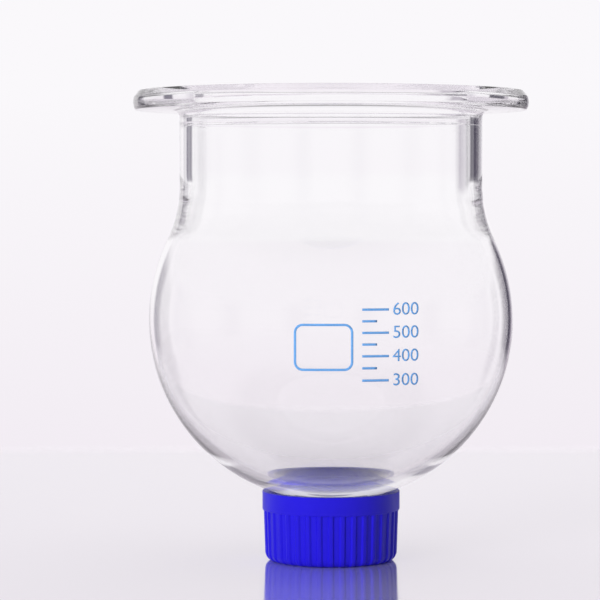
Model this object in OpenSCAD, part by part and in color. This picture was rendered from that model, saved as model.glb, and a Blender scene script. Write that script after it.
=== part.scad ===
// Round-bottomed reaction flask with a wide ground flange, standing in the
// mouth of an upturned screw cap. Millimetres, +Z up. The origin is the centre
// of the closed end that the cap stands on.

/* [Bulb] */
// Outer diameter of the blown bulb
bulb_od = 131; // [122:0.5:160]
// Wall of the bulb's sides, which runs on into the shoulder
bulb_wall = 1.6; // [1.2:0.1:2.4]
// Wall of the bulb at its lowest point
bottom_wall = 3.6; // [2.4:0.1:5]
// Radius of the hollow curve from the bulb up into the neck
shoulder_r = 43; // [25:1:60]

/* [Neck] */
// Bore through the neck and the flange
mouth_bore = 100.4; // [80:0.2:106]
// Wall of the neck
neck_wall = 4.2; // [3:0.1:6]
// Length of the tube between the shoulder and the flange
neck_len = 19; // [8:0.2:60]

/* [Flange] */
// Outer diameter of the flange
flange_od = 142; // [132:0.5:170]
// Thickness of the flange
flange_t = 6.8; // [4:0.1:12]
// Fillet between the flange's underside and the neck
flange_fillet = 3; // [1:0.1:5]
// Bevel on the flange's top outer edge
top_bevel = 2; // [0.3:0.1:2.5]
// Bevel on the flange's lower outer edge
lower_bevel = 0.8; // [0.2:0.1:1.2]
// Bevel at the mouth, inside the ground face
mouth_bevel = 1; // [0.2:0.1:2.5]

/* [Screw cap] */
// Height of the cap
cap_h = 25.2; // [22:0.2:32]
// Outer diameter of the smooth collar round the open end
collar_od = 49.6; // [49:0.1:56]
// Height of the collar
collar_h = 6.7; // [3:0.1:9]
// Diameter over the ribs, just below the collar
skirt_od = 48.6; // [47.6:0.1:49]
// How far the ribs draw in between the collar and the closed end
skirt_draft = 0.6; // [0:0.1:0.9]
// Radius of the edge round the closed end
end_edge_r = 3.2; // [1:0.1:4]
// Number of ribs
rib_count = 36; // [18:1:44]
// Width of a rib at its foot
rib_foot = 2.3; // [1.4:0.1:2.8]
// Width of a rib's crest
rib_crest = 1.2; // [0.4:0.1:1.3]
// How far a rib stands out of the skirt
rib_h = 0.55; // [0.2:0.05:0.7]
// Bore of the cap, at the root of its thread
cap_bore = 43.4; // [41:0.1:44]
// Bevel at the mouth of that bore
cap_mouth_bevel = 0.4; // [0.1:0.05:0.8]
// Wall of the closed end
end_wall = 1.8; // [1.4:0.1:3]

/* [Thread] */
// Pitch of the thread
thread_pitch = 4; // [3.2:0.1:5]
// Turns of the thread
thread_turns = 1.6; // [0.75:0.05:2]
// How far the thread stands in from the bore
thread_h = 1; // [0.5:0.05:1.4]
// Width of the thread at the bore
thread_foot = 2.4; // [1.8:0.1:3]
// Width of the thread at its crest
thread_crest = 1; // [0.6:0.1:1.6]
// Distance of the thread's upper end from the cap's mouth
thread_inset = 2.4; // [2:0.1:4]

/* [Sealing lip] */
// Outer diameter of the lip inside the closed end
lip_od = 36; // [28:0.2:38]
// Wall of the lip at its foot
lip_wall = 1.2; // [0.8:0.1:2]
// Wall of the lip at its tip
lip_tip = 0.6; // [0.4:0.1:0.8]
// Height of the lip
lip_h = 3; // [1:0.1:5]

/* [Enamel] */
// Thickness of the fired enamel
enamel_t = 0.12; // [0.05:0.01:0.3]
// Volume in millilitres at the lowest line
first_ml = 300; // [200:50:350]
// Volume in millilitres between two lines
step_ml = 50; // [25:5:60]
// Number of lines
line_count = 7; // [3:1:9]
// Width of an enamel line
line_w = 0.8; // [0.4:0.05:1.2]
// Length of every second line
long_line = 9; // [6:0.5:14]
// Length of the lines between
short_line = 5; // [3:0.5:9]
// Place of the lines' left ends, right of the bulb's centre line
lines_x = 10.5; // [6:0.5:20]
// Place of the writing spot's centre, left of the lines' left ends
spot_gap = 13; // [12:0.5:18]
// Width of the writing spot
spot_w = 20; // [12:0.5:22]
// Height of the writing spot
spot_h = 16; // [8:0.5:20]
// Radius of the writing spot's corners
spot_corner = 3; // [1:0.5:4]
// Height of the bulb's centre above the writing spot's centre
spot_drop = 6.5; // [0:0.5:12]

/* [Seat] */
// Gap between the bulb and the edge that it stands on
seat_gap = 0.2; // [0.05:0.05:0.4]

/* [Hidden] */
$fn = 96;

// Section of the glass, from the bulb's centre upwards. The shoulder ends in a
// short straight run, and its hollow curve laps the ball by a hair, so that the
// two meet in one clean edge.
shoulder_run = 0.4;
blend_lap = 0.001;
bulb_r = bulb_od / 2;
bulb_in_r = bulb_r - bulb_wall;
mouth_r = mouth_bore / 2;
neck_r = mouth_r + neck_wall;
flange_r = flange_od / 2;
shoulder_in_r = shoulder_r + bulb_wall;
seat_r = cap_bore / 2 + cap_mouth_bevel;
bulb_z = cap_h + sqrt(pow(bulb_r + seat_gap, 2) - pow(seat_r, 2));
shoulder_top = shoulder_run + max(
    blend_top(bulb_r, neck_r, shoulder_r),
    blend_top(bulb_in_r, mouth_r, shoulder_in_r)
);
neck_z = bulb_z + shoulder_top;
floor_z = bulb_z - bulb_r + bottom_wall;
fillet_z = neck_z + neck_len;
flange_z = fillet_z + flange_fillet;
top_z = flange_z + flange_t;

// Section of the cap
bore_r = cap_bore / 2;
collar_z = cap_h - collar_h;
collar_edge = 0.4;
collar_r = collar_od / 2;
crest_r = skirt_od / 2;
skirt_r = crest_r - rib_h;
lip_r = lip_od / 2;
gate_r = 2.5;
gate_depth = 0.5;

// The thread is a ridge swept down a helix, with its ends run out to nothing.
// Its foot stands a little way inside the skirt's wall.
ring_step = 15;
ring_count = round(360 * thread_turns / ring_step);
runout_rings = 4;
runout_width = 0.4;
thread_root = 0.3;
thread_top = cap_h - thread_inset - thread_foot / 2;

// Height above a ball's centre of the top end of a hollow curve of radius
// blend_r, which runs from the ball up into a tube of radius tube_r
function blend_top(ball_r, tube_r, blend_r) =
    sqrt(pow(ball_r + blend_r - blend_lap, 2) - pow(tube_r + blend_r, 2));

// Millilitres that the bulb holds at a depth, and the depth for a volume,
// which is found by halving the span
function filled_ml(depth) = PI * depth * depth * (bulb_in_r - depth / 3) / 1000;
function fill_depth(ml, low = 0, high = 2 * bulb_in_r, turn = 24) =
    let (middle = (low + high) / 2)
    turn == 0 ? middle
    : filled_ml(middle) < ml ? fill_depth(ml, middle, high, turn - 1)
    : fill_depth(ml, low, middle, turn - 1);

// Half section of a ball with a tube that rises out of it. The ball's lower half
// can be raised, which leaves a thicker wall there.
module ball_and_tube(ball_r, tube_r, blend_r, tube_top, rise = 0) {
    blend_z = blend_top(ball_r, tube_r, blend_r);
    intersection() {
        circle(ball_r);
        translate([0, rise]) circle(ball_r);
        translate([0, -ball_r]) square([ball_r, ball_r + tube_top]);
    }
    difference() {
        polygon([[0, 0], [tube_r + blend_r, blend_z], [0, blend_z]]);
        translate([tube_r + blend_r, blend_z]) circle(blend_r);
    }
    translate([0, blend_z]) square([tube_r, tube_top - blend_z]);
}

// Pressed flange, with its ground top face and the fillet under it
module flange() {
    color("lightcyan", 0.4) rotate_extrude() {
        polygon([
            [mouth_r, flange_z],
            [flange_r - lower_bevel, flange_z],
            [flange_r, flange_z + lower_bevel],
            [flange_r, top_z - top_bevel],
            [flange_r - top_bevel, top_z],
            [mouth_r + mouth_bevel, top_z],
            [mouth_r, top_z - mouth_bevel],
        ]);
        difference() {
            translate([mouth_r, fillet_z])
                square([neck_wall + flange_fillet, flange_fillet]);
            translate([neck_r + flange_fillet, fillet_z]) circle(flange_fillet);
        }
    }
}

// Tube between the shoulder and the flange
module neck() {
    color("paleturquoise", 0.4) translate([0, 0, neck_z]) difference() {
        cylinder(neck_len, r = neck_r);
        translate([0, 0, -neck_len]) cylinder(3 * neck_len, r = mouth_r);
    }
}

// Blown bulb, closed and round below, where its wall is thickest, with the
// shoulder that meets the neck
module bulb() {
    color("azure", 0.4) translate([0, 0, bulb_z]) rotate_extrude() difference() {
        ball_and_tube(bulb_r, neck_r, shoulder_r, shoulder_top);
        ball_and_tube(
            bulb_in_r, mouth_r, shoulder_in_r, shoulder_top + shoulder_run,
            rise = bottom_wall - bulb_wall
        );
    }
}

// Keeps the part of a shape that lies in the enamel on the bulb's front
module on_bulb() {
    intersection() {
        translate([0, 0, bulb_z]) difference() {
            sphere(bulb_r + enamel_t);
            sphere(bulb_r);
        }
        rotate([90, 0, 0]) linear_extrude(2 * bulb_r) children();
    }
}

module rounded_rect(w, h, corner) {
    square([w, h - 2 * corner], center = true);
    square([w - 2 * corner, h], center = true);
    for (x = [-1, 1], z = [-1, 1])
        translate([x * (w / 2 - corner), z * (h / 2 - corner)]) circle(corner);
}

// Fired enamel: graduation lines, and the outline of a writing spot
module enamel_marks() {
    color("cornflowerblue") {
        for (i = [0 : line_count - 1])
            on_bulb() translate([
                lines_x,
                floor_z + fill_depth(first_ml + i * step_ml) - line_w / 2
            ]) square([i % 2 == 0 ? long_line : short_line, line_w]);
        on_bulb() translate([lines_x - spot_gap, bulb_z - spot_drop]) difference() {
            rounded_rect(spot_w, spot_h, spot_corner);
            rounded_rect(spot_w - 2 * line_w, spot_h - 2 * line_w, spot_corner - line_w);
        }
    }
}

// Half section of the skirt, from the closed end up to the collar, with its
// lower edge rounded
module skirt_section(top_r) {
    tilt = atan(skirt_draft / collar_z);
    edge_x = top_r - skirt_draft + end_edge_r * (tan(tilt) - 1 / cos(tilt));
    translate([edge_x, end_edge_r]) circle(end_edge_r);
    polygon([
        [0, 0],
        [edge_x, 0],
        [edge_x, end_edge_r],
        [edge_x + end_edge_r * cos(tilt), end_edge_r * (1 - sin(tilt))],
        [top_r, collar_z],
        [0, collar_z],
    ]);
}

module collar_section() {
    translate([0, collar_z]) polygon([
        [0, 0],
        [collar_r - collar_edge, 0],
        [collar_r, collar_edge],
        [collar_r, collar_h - collar_edge],
        [collar_r - collar_edge, collar_h],
        [0, collar_h],
    ]);
}

// Ribs with sloping flanks, cut to the skirt's outer outline
module ribs() {
    root_r = (bore_r + skirt_r - skirt_draft) / 2;
    intersection() {
        rotate_extrude() skirt_section(crest_r);
        linear_extrude(collar_z) for (i = [0 : rib_count - 1])
            rotate(360 * i / rib_count) polygon([
                [root_r, -rib_foot / 2],
                [skirt_r, -rib_foot / 2],
                [crest_r, -rib_crest / 2],
                [collar_r, -rib_crest / 2],
                [collar_r, rib_crest / 2],
                [crest_r, rib_crest / 2],
                [skirt_r, rib_foot / 2],
                [root_r, rib_foot / 2],
            ]);
    }
}

// One ring of the thread's section, at an angle along the helix. The section
// shrinks into the wall at both ends of the thread.
function thread_ring(i) =
    let (
        angle = -i * ring_step,
        swell = min(1, i / runout_rings, (ring_count - i) / runout_rings),
        width = runout_width + (1 - runout_width) * swell,
        z = thread_top - thread_pitch * i * ring_step / 360,
        foot = thread_foot / 2 * width,
        tip = thread_crest / 2 * width,
        root_r = bore_r + thread_root,
        tip_r = bore_r - thread_h * swell + thread_root / 2 * (1 - swell)
    )
    [for (p = [[root_r, foot], [tip_r, tip], [tip_r, -tip], [root_r, -foot]])
        [p[0] * cos(angle), p[0] * sin(angle), z + p[1]]];

module thread() {
    corner_count = 4;
    points = [for (i = [0 : ring_count]) each thread_ring(i)];
    walls = [for (i = [0 : ring_count - 1], k = [0 : corner_count - 1])
        let (a = i * corner_count + k, b = i * corner_count + (k + 1) % corner_count)
        each [[b, a, b + corner_count], [b + corner_count, a, a + corner_count]]];
    last = ring_count * corner_count;
    ends = [[0, 1, 2, 3], [last + 3, last + 2, last + 1, last]];
    polyhedron(points, concat(walls, ends));
}

// Moulded cap, its closed end down: ribbed skirt, smooth collar, internal
// thread and a thin lip that seals on a bottle's mouth
module screw_cap() {
    color("mediumblue") {
        difference() {
            union() {
                rotate_extrude() {
                    skirt_section(skirt_r);
                    collar_section();
                }
                ribs();
            }
            translate([0, 0, end_wall]) cylinder(cap_h, r = bore_r);
            translate([0, 0, cap_h - cap_mouth_bevel])
                cylinder(2 * cap_mouth_bevel, bore_r, bore_r + 2 * cap_mouth_bevel);
            translate([0, 0, gate_depth - 1]) cylinder(1, r = gate_r);
        }
        rotate_extrude() polygon([
            [lip_r, end_wall / 2],
            [lip_r, end_wall],
            [lip_r - (lip_wall - lip_tip) / 2, end_wall + lip_h],
            [lip_r - (lip_wall + lip_tip) / 2, end_wall + lip_h],
            [lip_r - lip_wall, end_wall],
            [lip_r - lip_wall, end_wall / 2],
        ]);
        thread();
    }
}

flange();
neck();
bulb();
enamel_marks();
screw_cap();
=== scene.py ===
"""Round-bottomed reaction flask standing in the mouth of an upturned screw cap."""

import math

import bmesh
import bpy
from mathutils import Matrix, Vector, noise


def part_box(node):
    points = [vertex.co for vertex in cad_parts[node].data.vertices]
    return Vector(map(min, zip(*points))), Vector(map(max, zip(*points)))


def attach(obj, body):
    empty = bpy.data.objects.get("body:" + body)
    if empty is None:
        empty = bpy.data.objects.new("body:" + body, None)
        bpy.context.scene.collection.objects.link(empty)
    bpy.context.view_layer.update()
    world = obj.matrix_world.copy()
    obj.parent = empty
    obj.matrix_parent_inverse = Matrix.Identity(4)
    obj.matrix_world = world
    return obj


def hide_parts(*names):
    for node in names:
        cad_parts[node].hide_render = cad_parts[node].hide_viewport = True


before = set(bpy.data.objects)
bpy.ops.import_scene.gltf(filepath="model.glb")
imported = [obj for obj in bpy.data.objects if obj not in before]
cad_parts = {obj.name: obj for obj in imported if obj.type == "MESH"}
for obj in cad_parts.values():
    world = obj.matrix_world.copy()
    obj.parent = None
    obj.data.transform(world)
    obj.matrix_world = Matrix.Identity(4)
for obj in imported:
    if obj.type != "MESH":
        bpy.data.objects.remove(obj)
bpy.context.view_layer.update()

# Glass vessel. A blown bulb of borosilicate glass runs up through a hollow shoulder
# into a tube, and a pressed flange is fused on top. Its upper face is ground flat,
# and the flame leaves a slight ripple at the shoulder and a faint ring in the mouth.
MM = 0.001

bulb_low, bulb_high = (Vector(corner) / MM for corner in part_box("bulb"))
neck_high = Vector(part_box("neck")[1]) / MM
flange_low, flange_high = (Vector(corner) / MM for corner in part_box("flange"))

bulb_r = bulb_high.x
bulb_z = bulb_low.z + bulb_r
bulb_wall = 1.6
bottom_wall = 3.6
bulb_in_r = bulb_r - bulb_wall
floor_z = bulb_low.z + bottom_wall
neck_r = neck_high.x
neck_wall = 4.2
mouth_r = neck_r - neck_wall
shoulder_r = 43
flange_r = flange_high.x
fillet_z = flange_low.z
fillet_r = 3
flange_z = fillet_z + fillet_r
top_z = flange_high.z
top_bevel = 2
lower_bevel = 0.8
mouth_bevel = 1
polished_r = 0.3
fusion_z = 157
fusion_span = 1.5
ball_steps = 68
turn_steps = 288


def arc(x, z, radius, start, end, steps):
    """Points on an arc round (x, z), between two angles in degrees."""
    return [
        (
            x + radius * math.cos(math.radians(start + (end - start) * i / steps)),
            z + radius * math.sin(math.radians(start + (end - start) * i / steps)),
        )
        for i in range(steps + 1)
    ]


def rounded(corners, radius, steps=4):
    """An open outline with each inner corner rounded to about one radius."""
    points = [corners[0]]
    for before, corner, after in zip(corners, corners[1:], corners[2:]):
        into = (Vector(corner) - Vector(before)).normalized()
        out = (Vector(after) - Vector(corner)).normalized()
        half_turn = into.angle(out) / 2
        setback = radius * math.tan(half_turn)
        start = Vector(corner) - into * setback
        end = Vector(corner) + out * setback
        for i in range(steps + 1):
            share = i / steps
            on_first = start.lerp(Vector(corner), share)
            on_second = Vector(corner).lerp(end, share)
            points.append(tuple(on_first.lerp(on_second, share)))
    points.append(corners[-1])
    return points


def run(start, end, step):
    """Points on a straight line, about one step apart."""
    start, end = Vector(start), Vector(end)
    count = max(1, round((end - start).length / step))
    return [tuple(start.lerp(end, i / count)) for i in range(count + 1)]


def stepped(outline, step):
    """The same outline with its upright lines cut into short steps."""
    points = [outline[0]]
    for start, end in zip(outline, outline[1:]):
        upright = abs(end[0] - start[0]) < 0.01
        points += run(start, end, step)[1:] if upright else [end]
    return points


def ball_into_tube(ball_r, foot_z, tube_r, blend_r):
    """Section of a ball, with its foot at one height, up through a hollow curve to a tube."""
    blend_x = tube_r + blend_r
    blend_z = math.sqrt((ball_r + blend_r) ** 2 - blend_x ** 2)
    meet = math.degrees(math.atan2(blend_z, blend_x))
    squeeze = (bulb_z - foot_z) / ball_r
    lower = arc(0, bulb_z, ball_r, -90, 0, ball_steps)
    return (
        [(x, bulb_z + (z - bulb_z) * squeeze) for x, z in lower]
        + arc(0, bulb_z, ball_r, 0, meet, ball_steps // 3)[1:]
        + arc(blend_x, bulb_z + blend_z, blend_r, 180 + meet, 180, ball_steps // 4)[1:]
    )


def lathe(name, outline):
    """A closed surface of revolution about Z, from an outline in millimetres."""
    mesh = bpy.data.meshes.new(name)
    shape = bmesh.new()
    ring = [shape.verts.new((x * MM, 0, z * MM)) for x, z in outline]
    edges = [shape.edges.new(pair) for pair in zip(ring, ring[1:])]
    bmesh.ops.spin(
        shape, geom=ring + edges, cent=(0, 0, 0), axis=(0, 0, 1),
        angle=math.tau, steps=turn_steps, use_duplicate=False,
    )
    bmesh.ops.remove_doubles(shape, verts=shape.verts, dist=0.002 * MM)
    bmesh.ops.recalc_face_normals(shape, faces=shape.faces)
    shape.to_mesh(mesh)
    shape.free()
    mesh.shade_smooth()
    piece = bpy.data.objects.new(name, mesh)
    bpy.context.scene.collection.objects.link(piece)
    return piece


# The section of the glass, in steps short enough for the ripples that follow.
tube_step = 1.5
rim_step = 0.4
fusion_step = 0.25
fillet_steps = 10
outside = ball_into_tube(bulb_r, bulb_low.z, neck_r, shoulder_r)
outside += run(outside[-1], (neck_r, fillet_z), tube_step)[1:-1]
outside += arc(neck_r + fillet_r, fillet_z, fillet_r, 180, 90, fillet_steps)
rim = rounded(
    [
        outside[-1],
        (flange_r - lower_bevel, flange_z),
        (flange_r, flange_z + lower_bevel),
        (flange_r, top_z - top_bevel),
        (flange_r - top_bevel, top_z),
        (mouth_r + mouth_bevel, top_z),
        (mouth_r, top_z - mouth_bevel),
        (mouth_r, fillet_z),
    ],
    polished_r,
)
rim = stepped(rim, rim_step)
inside = ball_into_tube(bulb_in_r, floor_z, mouth_r, shoulder_r + bulb_wall)
inside += run(inside[-1], (mouth_r, fusion_z - fusion_span), tube_step)[1:]
inside += run(inside[-1], (mouth_r, fusion_z + fusion_span), fusion_step)[1:]
vessel = lathe("vessel", outside + rim[1:] + inside[::-1])

# Flame work and pressing, in millimetres: rings at the seam of bulb and tube, fine
# waves in the flange, its side pressed to a slight crown, and the ring that is left
# inside the mouth where the flange is fused on. The scales set how they vary round it.
seam_low, seam_high = 122, 140
seam_ripple = 0.06
seam_rings = 0.9
seam_wander = 3
seam_scale, seam_rise = 2.6, 0.05
rim_ripple = 0.03
rim_scale, rim_rise = 2.2, 1.2
rim_crown = 0.35
fusion_h = 0.2
fusion_w = 0.5
fusion_share = 0.6
fusion_scale = 1.3


def hand_worked(point):
    """Pushes a point of the glass in or out, as flame work and pressing leave it."""
    place = point / MM
    radius = math.hypot(place.x, place.y)
    if radius < 1:
        return point
    turn = Vector((place.x, place.y, 0)) / radius
    push = 0
    if seam_low < place.z < seam_high:
        share = (place.z - seam_low) / (seam_high - seam_low)
        fade = math.sin(math.pi * share) ** 2
        wander = noise.noise(turn * seam_scale + Vector((0, 0, place.z * seam_rise)))
        rings = math.cos(place.z * seam_rings + wander * seam_wander)
        push += seam_ripple * fade * (rings + wander)
    if place.z > fillet_z:
        fade = min(1, (place.z - fillet_z) / fillet_r)
        wave = noise.noise(turn * rim_scale + Vector((0, 0, place.z * rim_rise)))
        push += fade * rim_ripple * wave
    if radius > flange_r - 0.1:
        middle = (flange_z + lower_bevel + top_z - top_bevel) / 2
        push -= rim_crown * ((place.z - middle) / (top_z - top_bevel - middle)) ** 2
    if radius < mouth_r + 1 and abs(place.z - fusion_z) < 3 * fusion_w:
        uneven = fusion_share + noise.noise(turn * fusion_scale)
        push -= uneven * fusion_h * math.exp(-(((place.z - fusion_z) / fusion_w) ** 2))
    return point + turn * push * MM


for vertex in vessel.data.vertices:
    vertex.co = hand_worked(vertex.co)
vessel.data.update()


def linear(hex_colour):
    """An sRGB hex colour as linear red, green, blue and alpha."""
    parts = [int(hex_colour[i : i + 2], 16) / 255 for i in (1, 3, 5)]
    return [c / 12.92 if c <= 0.04045 else ((c + 0.055) / 1.055) ** 2.4 for c in parts] + [1]


def add(material, kind, settings=None, links=None):
    """Adds a node to a material, sets its sockets or properties, and links inputs."""
    node = material.node_tree.nodes.new(kind)
    for name, value in (settings or {}).items():
        if name in node.inputs:
            node.inputs[name].default_value = value
        else:
            setattr(node, name, value)
    for name, source in (links or {}).items():
        material.node_tree.links.new(source, node.inputs[name])
    return node


def blank_material(name):
    """A new material without any nodes."""
    material = bpy.data.materials.new(name)
    material.use_nodes = True
    material.node_tree.nodes.clear()
    return material


# Borosilicate glass, blown and fire-polished: clear, with a smooth skin that is very
# slightly wavy over a few centimetres, so that highlights wander a little.
wave_mm = 28
wave_depth_mm = 0.025
fire_polished = blank_material("fire_polished_borosilicate")
place = add(fire_polished, "ShaderNodeTexCoord")
wave = add(
    fire_polished, "ShaderNodeTexNoise",
    {"Scale": 1 / (wave_mm * MM), "Detail": 1.0, "Roughness": 0.4},
    {"Vector": place.outputs["Object"]},
)
skin = add(
    fire_polished, "ShaderNodeBump",
    {"Distance": wave_depth_mm * MM, "Strength": 1.0},
    {"Height": wave.outputs["Fac"]},
)
glass = add(
    fire_polished, "ShaderNodeBsdfPrincipled",
    {"Base Color": linear("#FFFFFF"), "Roughness": 0.0, "IOR": 1.473, "Transmission Weight": 1.0},
    {"Normal": skin.outputs["Normal"]},
)
add(fire_polished, "ShaderNodeOutputMaterial", links={"Surface": glass.outputs["BSDF"]})

# The same glass ground flat with fine grit and then lapped: a dull, greyish sheen.
# The grit's pits are finer than can be seen, so they are drawn a quarter of a
# millimetre wide.
grit_mm = 0.25
grit_depth_mm = 0.01
ground_skin_mm = 0.1
ground = blank_material("ground_borosilicate")
place = add(ground, "ShaderNodeTexCoord")
grit = add(
    ground, "ShaderNodeTexNoise",
    {"Scale": 1 / (grit_mm * MM), "Detail": 2.0},
    {"Vector": place.outputs["Object"]},
)
pits = add(
    ground, "ShaderNodeBump",
    {"Distance": grit_depth_mm * MM, "Strength": 0.5},
    {"Height": grit.outputs["Fac"]},
)
dull_glass = add(
    ground, "ShaderNodeBsdfPrincipled",
    {"Base Color": linear("#D8D6DA"), "Roughness": 0.2, "IOR": 1.473, "Transmission Weight": 1.0},
    {"Normal": pits.outputs["Normal"]},
)
add(ground, "ShaderNodeOutputMaterial", links={"Surface": dull_glass.outputs["BSDF"]})

vessel.data.materials.append(fire_polished)
vessel.data.materials.append(ground)
for face in vessel.data.polygons:
    if face.center.z > (top_z - ground_skin_mm) * MM:
        face.material_index = 1

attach(vessel, "vessel")
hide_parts("bulb", "neck", "flange")

# Enamel marks. Light blue ceramic ink, screen-printed on the bulb's front and fired
# into the glass: a scale of lines with plain numbers, and the outline of a writing spot.
enamel_t = 0.12
line_w = 0.8
long_line = 9
short_line = 5
lines_x = 10.5
number_gap = 1.2
number_x = lines_x + long_line + number_gap
number_h = 4.4
digit_share = 0.73
spot_w = 20
spot_h = 16
spot_corner = 3
spot_gap = 13
spot_drop = 6.5
spot_x = lines_x - spot_gap
spot_z = bulb_z - spot_drop
marked_ml = range(300, 601, 50)


def filled_ml(depth):
    """Millilitres that the bulb holds at a depth in millimetres."""
    return math.pi * depth ** 2 * (bulb_in_r - depth / 3) / 1000


def fill_height(ml):
    """Height of the liquid's surface for a volume, by halving the span."""
    low, high = 0, 2 * bulb_in_r
    for _ in range(24):
        middle = (low + high) / 2
        if filled_ml(middle) < ml:
            low = middle
        else:
            high = middle
    return floor_z + low


def flat_outline(shape, points):
    """Adds a flat face in the XZ plane, facing -Y."""
    return shape.faces.new([shape.verts.new((x, 0, z)) for x, z in points])


def spot_outline(w, h, corner):
    """A rectangle with round corners, counter-clockwise from its right side."""
    x, z = w / 2 - corner, h / 2 - corner
    points = []
    for quarter, (sx, sz) in enumerate([(1, 1), (-1, 1), (-1, -1), (1, -1)]):
        points += arc(spot_x + sx * x, spot_z + sz * z, corner, 90 * quarter, 90 * quarter + 90, 8)
    return points


print_face = bmesh.new()
for i, ml in enumerate(marked_ml):
    left, middle = lines_x, fill_height(ml)
    right = left + (long_line if i % 2 == 0 else short_line)
    flat_outline(print_face, [
        (left, middle - line_w / 2), (right, middle - line_w / 2),
        (right, middle + line_w / 2), (left, middle + line_w / 2),
    ])
outer_line = spot_outline(spot_w, spot_h, spot_corner)
inner_line = spot_outline(spot_w - 2 * line_w, spot_h - 2 * line_w, spot_corner - line_w)
for i, (a, b) in enumerate(zip(outer_line, inner_line)):
    j = (i + 1) % len(outer_line)
    flat_outline(print_face, [a, outer_line[j], inner_line[j], b])

# Numbers at every second line. The font's digits stand digit_share of its size high.
for ml in marked_ml[::2]:
    letters = bpy.data.curves.new("number", "FONT")
    letters.body = str(ml)
    letters.size = number_h / digit_share
    letters.align_y = "CENTER"
    number = bpy.data.objects.new("number", letters)
    bpy.context.scene.collection.objects.link(number)
    graph = bpy.context.evaluated_depsgraph_get()
    flat_number = bpy.data.meshes.new_from_object(number.evaluated_get(graph))
    for vertex in flat_number.vertices:
        vertex.co = (number_x + vertex.co.x, 0, fill_height(ml) + vertex.co.y)
    print_face.from_mesh(flat_number)
    bpy.data.objects.remove(number)
    bpy.data.meshes.remove(flat_number)

# The flat print is cut into small fields, so that it bends with the ball. Its back
# stands a hair off the glass.
field = 1.2
print_lift = 0.004
bmesh.ops.remove_doubles(print_face, verts=print_face.verts, dist=0.01)
for axis in (Vector((1, 0, 0)), Vector((0, 0, 1))):
    spread = [vertex.co.dot(axis) for vertex in print_face.verts]
    cut = math.ceil(min(spread))
    while cut < max(spread):
        bmesh.ops.bisect_plane(
            print_face, geom=print_face.verts[:] + print_face.edges[:] + print_face.faces[:],
            plane_co=axis * cut, plane_no=axis,
        )
        cut += field
for vertex in print_face.verts:
    x, z = vertex.co.x, vertex.co.z
    y = -math.sqrt((bulb_r + print_lift) ** 2 - x ** 2 - (z - bulb_z) ** 2)
    vertex.co = Vector((x, y, z)) * MM
print_mesh = bpy.data.meshes.new("scale_print")
print_face.to_mesh(print_mesh)
print_face.free()
print_mesh.shade_smooth()
scale_print = bpy.data.objects.new("scale_print", print_mesh)
bpy.context.scene.collection.objects.link(scale_print)
layer = scale_print.modifiers.new("enamel layer", "SOLIDIFY")
layer.thickness = (enamel_t - print_lift) * MM
layer.offset = 1

# Fired glass enamel, screen-printed: an even light blue with a low gloss. The mesh
# of the screen leaves the ink a little thinner here and there.
screen_mm = 0.6
enamel = blank_material("fired_blue_enamel")
place = add(enamel, "ShaderNodeTexCoord")
mottle = add(
    enamel, "ShaderNodeTexNoise",
    {"Scale": 1 / (screen_mm * MM), "Detail": 2.0},
    {"Vector": place.outputs["Object"]},
)
ink = add(enamel, "ShaderNodeMix", {"data_type": "RGBA"}, {"Factor": mottle.outputs["Fac"]})
ink.inputs["A"].default_value = linear("#5C9CE0")
ink.inputs["B"].default_value = linear("#74B2EE")
fired = add(
    enamel, "ShaderNodeBsdfPrincipled",
    {"Roughness": 0.32, "IOR": 1.5},
    {"Base Color": ink.outputs["Result"]},
)
add(enamel, "ShaderNodeOutputMaterial", links={"Surface": fired.outputs["BSDF"]})

print_mesh.materials.append(enamel)
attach(scale_print, "vessel")
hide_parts("enamel_marks")

# Screw cap. Injection-moulded polypropylene, standing on its closed end: a smooth
# collar round the open mouth, a ribbed skirt that tapers a little to a rounded edge,
# and inside it the thread and a thin sealing lip.
cap_high = Vector(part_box("screw_cap")[1]) / MM
collar_r = cap_high.x
cap_h = cap_high.z
collar_h = 6.7
collar_z = cap_h - collar_h
rib_count = 36
rib_h = 0.55
rib_foot = 2.3
rib_crest = 1.2
crest_r = 24.3
skirt_draft = 0.6
end_edge_r = 3.2
cap_bore_r = 21.7
cap_mouth_bevel = 0.4
end_wall = 1.8
lip_r = 18
lip_wall = 1.2
lip_tip = 0.6
lip_h = 3
gate_r = 2.5
gate_depth = 0.5
moulded_r = 0.22
skirt_edge_r = 0.15
gate_edge_r = 0.15


def skirt_line(top_r, steps=8):
    """Outline of the skirt from the closed end's face, round the edge, to the collar."""
    tilt = math.atan(skirt_draft / collar_z)
    edge_x = top_r - skirt_draft + end_edge_r * (math.tan(tilt) - 1 / math.cos(tilt))
    edge = arc(edge_x, end_edge_r, end_edge_r, -90, -math.degrees(tilt), steps)
    return edge + [(top_r, collar_z)]


skirt = rounded(skirt_line(crest_r - rib_h), skirt_edge_r, 1)
collar = rounded(
    [
        skirt[-1],
        (collar_r, collar_z),
        (collar_r, cap_h),
        (cap_bore_r + cap_mouth_bevel, cap_h),
        (cap_bore_r, cap_h - cap_mouth_bevel),
        (cap_bore_r, end_wall),
        (lip_r, end_wall),
        (lip_r - (lip_wall - lip_tip) / 2, end_wall + lip_h),
        (lip_r - (lip_wall + lip_tip) / 2, end_wall + lip_h),
        (lip_r - lip_wall, end_wall),
        (0, end_wall),
    ],
    moulded_r,
)
gate = rounded([(0, gate_depth), (gate_r, gate_depth), (gate_r, 0), skirt[0]], gate_edge_r)
shell = lathe("cap_shell", gate[:-1] + skirt + collar[1:])
shell.data.set_sharp_from_angle(angle=math.radians(50))

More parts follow.
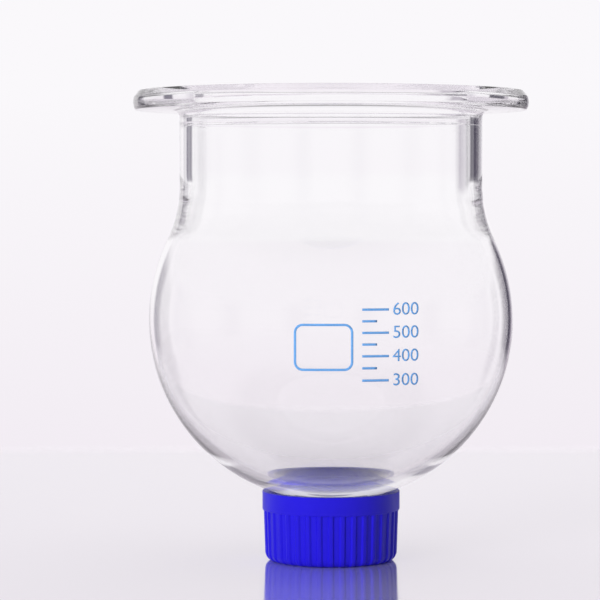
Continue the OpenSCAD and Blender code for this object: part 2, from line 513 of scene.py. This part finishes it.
# The thread's ridge, swept down the bore. It runs out at both ends, where it grows
# narrow and sinks into the wall.
thread_pitch = 4
thread_turns = 1.6
thread_h = 1
thread_foot = 2.4
thread_crest = 1
thread_inset = 2.4
thread_top = cap_h - thread_inset - thread_foot / 2
thread_root = 0.3
thread_edge_r = 0.3
thread_steps = 96
runout_turns = 0.17
runout_width = 0.4
runout_sink = 0.15


def thread_section(share):
    """Section of the ridge at a share of its length, sunk into the wall at both ends."""
    turn = thread_turns * share
    swell = min(1, turn / runout_turns, (thread_turns - turn) / runout_turns)
    swell = swell * swell * (3 - 2 * swell)
    width = runout_width + (1 - runout_width) * swell
    foot, tip = thread_foot / 2 * width, thread_crest / 2 * width
    inner = cap_bore_r - thread_h * swell + runout_sink * (1 - swell)
    root = cap_bore_r + thread_root
    section = rounded([(root, foot), (inner, tip), (inner, -tip), (root, -foot)], thread_edge_r)
    z = thread_top - thread_pitch * turn
    angle = -math.tau * turn
    return [Vector((r * math.cos(angle), r * math.sin(angle), z + h)) * MM for r, h in section]


ridge = bmesh.new()
rings = []
for i in range(thread_steps + 1):
    rings.append([ridge.verts.new(point) for point in thread_section(i / thread_steps)])
for ring, following in zip(rings, rings[1:]):
    for k in range(len(ring)):
        j = (k + 1) % len(ring)
        ridge.faces.new([ring[k], ring[j], following[j], following[k]])
ridge.faces.new(rings[0][::-1])
ridge.faces.new(rings[-1])
bmesh.ops.recalc_face_normals(ridge, faces=ridge.faces)
thread_mesh = bpy.data.meshes.new("cap_thread")
ridge.to_mesh(thread_mesh)
ridge.free()
thread_mesh.shade_smooth()
thread_mesh.set_sharp_from_angle(angle=math.radians(60))
thread = bpy.data.objects.new("cap_thread", thread_mesh)
bpy.context.scene.collection.objects.link(thread)

# One rib: a low bar with sloping flanks and softened corners, drawn along the skirt's
# outline from just inside the collar to the closed end, where it runs into the edge.
rib_sunk = 0.3
rib_edge_r = 0.25
rib_bend_r = 0.05
rib_path = rounded(skirt_line(crest_r - rib_h, 10), rib_bend_r, 1)
rib_path[-1] = (rib_path[-1][0], collar_z + rib_sunk)
bar = bmesh.new()
rib_rings = []
rib_section = rounded(
    [
        (-rib_foot / 2, -rib_sunk),
        (-rib_foot / 2, 0),
        (-rib_crest / 2, rib_h),
        (rib_crest / 2, rib_h),
        (rib_foot / 2, 0),
        (rib_foot / 2, -rib_sunk),
    ],
    rib_edge_r, 3,
)
for x, z in rib_path:
    corners = [Vector((x + h, across, z)) * MM for across, h in rib_section]
    rib_rings.append([bar.verts.new(corner) for corner in corners])
for ring, following in zip(rib_rings, rib_rings[1:]):
    for k in range(len(ring)):
        j = (k + 1) % len(ring)
        bar.faces.new([ring[k], ring[j], following[j], following[k]])
bar.faces.new(rib_rings[0][::-1])
bar.faces.new(rib_rings[-1])
bmesh.ops.recalc_face_normals(bar, faces=bar.faces)
rib_mesh = bpy.data.meshes.new("cap_ribs")
bar.to_mesh(rib_mesh)
bar.free()
rib_mesh.shade_smooth()
rib_mesh.set_sharp_from_angle(angle=math.radians(70))
one_rib = bpy.data.objects.new("one_rib", rib_mesh)
bpy.context.scene.collection.objects.link(one_rib)

# Polypropylene from a finely textured mould: saturated blue, a soft broad gloss and
# a skin with a faint orange-peel a few tenths of a millimetre across. The flow of the
# melt leaves wider patches that differ a little in tint and gloss.
peel_mm = 0.45
peel_depth_mm = 0.012
flow_mm = 9
polypropylene = blank_material("moulded_polypropylene")
place = add(polypropylene, "ShaderNodeTexCoord")
peel = add(
    polypropylene, "ShaderNodeTexNoise",
    {"Scale": 1 / (peel_mm * MM), "Detail": 2.0},
    {"Vector": place.outputs["Object"]},
)
flow = add(
    polypropylene, "ShaderNodeTexNoise",
    {"Scale": 1 / (flow_mm * MM), "Detail": 3.0},
    {"Vector": place.outputs["Object"]},
)
tint = add(polypropylene, "ShaderNodeMix", {"data_type": "RGBA"}, {"Factor": flow.outputs["Fac"]})
tint.inputs["A"].default_value = linear("#1B0ECC")
tint.inputs["B"].default_value = linear("#2012D8")
sheen = add(
    polypropylene, "ShaderNodeMapRange",
    {"To Min": 0.34, "To Max": 0.44},
    {"Value": flow.outputs["Fac"]},
)
orange_peel = add(
    polypropylene, "ShaderNodeBump",
    {"Distance": peel_depth_mm * MM, "Strength": 0.6},
    {"Height": peel.outputs["Fac"]},
)
moulded = add(
    polypropylene, "ShaderNodeBsdfPrincipled",
    {"IOR": 1.49, "Specular IOR Level": 0.3},
    {
        "Base Color": tint.outputs["Result"],
        "Roughness": sheen.outputs["Result"],
        "Normal": orange_peel.outputs["Normal"],
    },
)
add(polypropylene, "ShaderNodeOutputMaterial", links={"Surface": moulded.outputs["BSDF"]})

# The ribs stand round the skirt at even steps: one turn shared out by their number.
rib_tree = bpy.data.node_groups.new("ribs round the skirt", "GeometryNodeTree")
sockets = rib_tree.interface
sockets.new_socket("Geometry", in_out="INPUT", socket_type="NodeSocketGeometry")
count_input = sockets.new_socket("Rib count", in_out="INPUT", socket_type="NodeSocketInt")
sockets.new_socket("Geometry", in_out="OUTPUT", socket_type="NodeSocketGeometry")
nodes, wire = rib_tree.nodes, rib_tree.links.new
entry, result = nodes.new("NodeGroupInput"), nodes.new("NodeGroupOutput")
centres = nodes.new("GeometryNodePoints")
order = nodes.new("GeometryNodeInputIndex")
share_of_turn = nodes.new("ShaderNodeMath")
share_of_turn.operation = "DIVIDE"
turn_by = nodes.new("ShaderNodeMath")
turn_by.operation = "MULTIPLY"
turn_by.inputs[1].default_value = math.tau
heading = nodes.new("ShaderNodeCombineXYZ")
place_ribs = nodes.new("GeometryNodeInstanceOnPoints")
real = nodes.new("GeometryNodeRealizeInstances")
finish = nodes.new("GeometryNodeSetMaterial")
finish.inputs["Material"].default_value = polypropylene
wire(entry.outputs["Rib count"], centres.inputs["Count"])
wire(centres.outputs["Points"], place_ribs.inputs["Points"])
wire(entry.outputs["Geometry"], place_ribs.inputs["Instance"])
wire(order.outputs["Index"], share_of_turn.inputs[0])
wire(entry.outputs["Rib count"], share_of_turn.inputs[1])
wire(share_of_turn.outputs["Value"], turn_by.inputs[0])
wire(turn_by.outputs["Value"], heading.inputs["Z"])
wire(heading.outputs["Vector"], place_ribs.inputs["Rotation"])
wire(place_ribs.outputs["Instances"], real.inputs["Geometry"])
wire(real.outputs["Geometry"], finish.inputs["Geometry"])
wire(finish.outputs["Geometry"], result.inputs["Geometry"])

pattern = one_rib.modifiers.new("ribs", "NODES")
pattern.node_group = rib_tree
pattern[count_input.identifier] = rib_count
graph = bpy.context.evaluated_depsgraph_get()
ribs_mesh = bpy.data.meshes.new_from_object(one_rib.evaluated_get(graph))
bpy.data.objects.remove(one_rib)
ribs_mesh.name = "cap_ribs"
ribs = bpy.data.objects.new("cap_ribs", ribs_mesh)
bpy.context.scene.collection.objects.link(ribs)

shell.data.materials.append(polypropylene)
thread.data.materials.append(polypropylene)
for piece in (shell, ribs, thread):
    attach(piece, "stand")
    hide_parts("screw_cap")

# Stage. A glossy pale table top, in metres. Behind the object it fades softly into the
# white surround, and to the other sides it runs on for more than a metre.
table_back = 0.413
table_side = 1.2
table_fade = 0.03
bpy.ops.mesh.primitive_plane_add(size=2 * (table_side + table_fade))
table = bpy.context.object
table.name = "table"

# Pale acrylic sheet, polished and silvered behind. It mirrors more than plain acrylic
# does, so it is set part metallic, with a slight blur.
table_top = blank_material("pale_acrylic")
place = add(table_top, "ShaderNodeTexCoord")
axes = add(table_top, "ShaderNodeSeparateXYZ", links={"Vector": place.outputs["Object"]})
fade = add(
    table_top, "ShaderNodeMapRange",
    {
        "interpolation_type": "SMOOTHSTEP",
        "From Min": table_back - table_fade,
        "From Max": table_back + table_fade,
    },
    {"Value": axes.outputs["Y"]},
)
acrylic = add(
    table_top, "ShaderNodeBsdfPrincipled",
    {"Base Color": linear("#EAE4EC"), "Metallic": 0.62, "Roughness": 0.11, "IOR": 1.49},
)
nothing = add(table_top, "ShaderNodeBsdfTransparent")
edge = add(
    table_top, "ShaderNodeMixShader",
    links={"Fac": fade.outputs["Result"], 1: acrylic.outputs["BSDF"], 2: nothing.outputs["BSDF"]},
)
add(table_top, "ShaderNodeOutputMaterial", links={"Surface": edge.outputs["Shader"]})
table.data.materials.append(table_top)

# The surround: white all round at a strength of 1, with upright grey panels in level
# directions that the camera doesn't see. Clear glass picks up its dark edge lines
# from them and from a darker ceiling that shows only through glass. Its light on
# the object is an even grey.
surround = bpy.data.worlds.new("white surround")
bpy.context.scene.world = surround
surround.use_nodes = True
surround.node_tree.nodes.clear()
gaze = add(surround, "ShaderNodeTexCoord")
axes = add(surround, "ShaderNodeSeparateXYZ", links={"Vector": gaze.outputs["Generated"]})
bearing = add(
    surround, "ShaderNodeMath", {"operation": "ARCTAN2"},
    {0: axes.outputs["X"], 1: axes.outputs["Y"]},
)
share = add(
    surround, "ShaderNodeMapRange", {"From Min": -math.pi, "From Max": math.pi},
    {"Value": bearing.outputs["Value"]},
)
panels = add(surround, "ShaderNodeValToRGB", links={"Fac": share.outputs["Result"]})

# The panels by their bearing in degrees, with 0 straight behind the object: a grey one
# to the left, a dark one to the right with a pale border, and faint strips farther round.
white, faint = "#FAF8FB", "#D8D4DC"
grey, dark = "#7A7684", "#524E5C"
border, border_end = "#C0BAC4", "#B8B2BC"
ramp = {
    -43: white, -41: grey, -31: grey, -28: white,
    12: white, 14: border, 19: border_end, 21: dark, 41: dark, 43: white, 180: white,
}
faint_half_width = 10
for middle in (-157, -113, -67, 67, 113, 157):
    ramp.update({
        middle - faint_half_width: white,
        middle: faint,
        middle + faint_half_width: white,
    })
stops = panels.color_ramp.elements
while len(stops) > 1:
    stops.remove(stops[-1])
stops[0].color = linear(white)
for degrees, colour in ramp.items():
    stops.new(0.5 + degrees / 360).color = linear(colour)

# Heights are sines of the angle above the level. The white is a little greyer below
# it, the panels fade out from 7 to 13 degrees off it, and the ceiling darkens from 30
# degrees up.
height = add(
    surround, "ShaderNodeMapRange", {"From Min": -0.1, "From Max": 0.04},
    {"Value": axes.outputs["Z"]},
)
tone = add(surround, "ShaderNodeMix", {"data_type": "RGBA"}, {"Factor": height.outputs["Result"]})
tone.inputs["A"].default_value = linear("#F7F3F7")
tone.inputs["B"].default_value = linear("#FFFFFF")
path = add(surround, "ShaderNodeLightPath")
ceiling = add(
    surround, "ShaderNodeMapRange", {"To Min": 1.0, "To Max": 0.3},
    {"Value": path.outputs["Is Transmission Ray"]},
)
overhead = add(
    surround, "ShaderNodeMapRange",
    {"interpolation_type": "SMOOTHSTEP", "From Min": 0.5, "From Max": 0.8, "To Min": 1.0},
    {"Value": axes.outputs["Z"], "To Max": ceiling.outputs["Result"]},
)
unseen = add(
    surround, "ShaderNodeMapRange", {"To Min": 1.0, "To Max": 0.0},
    {"Value": path.outputs["Is Camera Ray"]},
)
slope = add(surround, "ShaderNodeMath", {"operation": "ABSOLUTE"}, {0: axes.outputs["Z"]})
level = add(
    surround, "ShaderNodeMapRange",
    {"interpolation_type": "SMOOTHSTEP", "From Min": 0.12, "From Max": 0.22, "To Max": 0.0},
    {"Value": slope.outputs["Value"], "To Min": unseen.outputs["Result"]},
)
backdrop = add(
    surround, "ShaderNodeMix", {"data_type": "RGBA"},
    {"Factor": level.outputs["Result"], "B": panels.outputs["Color"]},
)
backdrop.inputs["A"].default_value = linear(white)
toned = add(
    surround, "ShaderNodeMix", {"data_type": "RGBA", "blend_type": "MULTIPLY", "Factor": 1.0},
    {"A": backdrop.outputs["Result"], "B": tone.outputs["Result"]},
)
seen = add(
    surround, "ShaderNodeBackground",
    links={"Color": toned.outputs["Result"], "Strength": overhead.outputs["Result"]},
)
grey_light = add(surround, "ShaderNodeBackground", {"Color": linear("#FFFFFF"), "Strength": 0.18})
choice = add(
    surround, "ShaderNodeMixShader",
    links={
        "Fac": path.outputs["Is Diffuse Ray"],
        1: seen.outputs["Background"],
        2: grey_light.outputs["Background"],
    },
)
add(surround, "ShaderNodeOutputWorld", links={"Surface": choice.outputs["Shader"]})


def lamp(kind, name, place, aim, spread, strength):
    """A soft studio lamp at a place, turned to a point and left out of reflections."""
    light = bpy.data.lights.new(name, kind)
    setattr(light, "angle" if kind == "SUN" else "size", spread)
    light.energy = strength
    holder = bpy.data.objects.new(name, light)
    holder.location = place
    holder.rotation_euler = (Vector(aim) - Vector(place)).to_track_quat("-Z", "Y").to_euler()
    holder.visible_glossy = False
    holder.visible_transmission = False
    bpy.context.scene.collection.objects.link(holder)


lamp(
    "SUN", "key light", place=(-0.58, -0.78, 0.2), aim=(0, 0, 0.06),
    spread=math.radians(28), strength=3,
)
lamp(
    "AREA", "top light", place=(0.1, 0.1, 1.2), aim=(0, 0, 0.08),
    spread=0.8, strength=4.5,
)

# Camera: 937 mm in front of the object's axis, level with the shoulder's upper end and
# turned down a little. The lens draws a millimetre at the axis 2.775 pixels wide, and
# its shift puts the axis a little right of the picture's middle.
image_px = 600
px_per_mm = 2.775
axis_px = 331
distance = 937
eye_z = 130.6
middle_z = 94
sensor_mm = 36
camera = bpy.data.cameras.new("camera")
camera.sensor_width = sensor_mm
camera.lens = sensor_mm * distance * px_per_mm / image_px
camera.shift_x = (image_px / 2 - axis_px) / image_px
camera.clip_start = 0.01
view = bpy.data.objects.new("camera", camera)
view.location = Vector((0, -distance, eye_z)) * MM
down = Vector((0, 0, middle_z)) * MM - view.location
view.rotation_euler = down.to_track_quat("-Z", "Y").to_euler()
bpy.context.scene.collection.objects.link(view)
bpy.context.scene.camera = view

# Light that is caught inside the glass needs many bounces to get out again.
bpy.context.scene.view_settings.view_transform = "Standard"
bpy.context.scene.cycles.max_bounces = 32
bpy.context.scene.cycles.transmission_bounces = 24
bpy.context.scene.cycles.glossy_bounces = 24
bpy.context.scene.cycles.transparent_max_bounces = 16
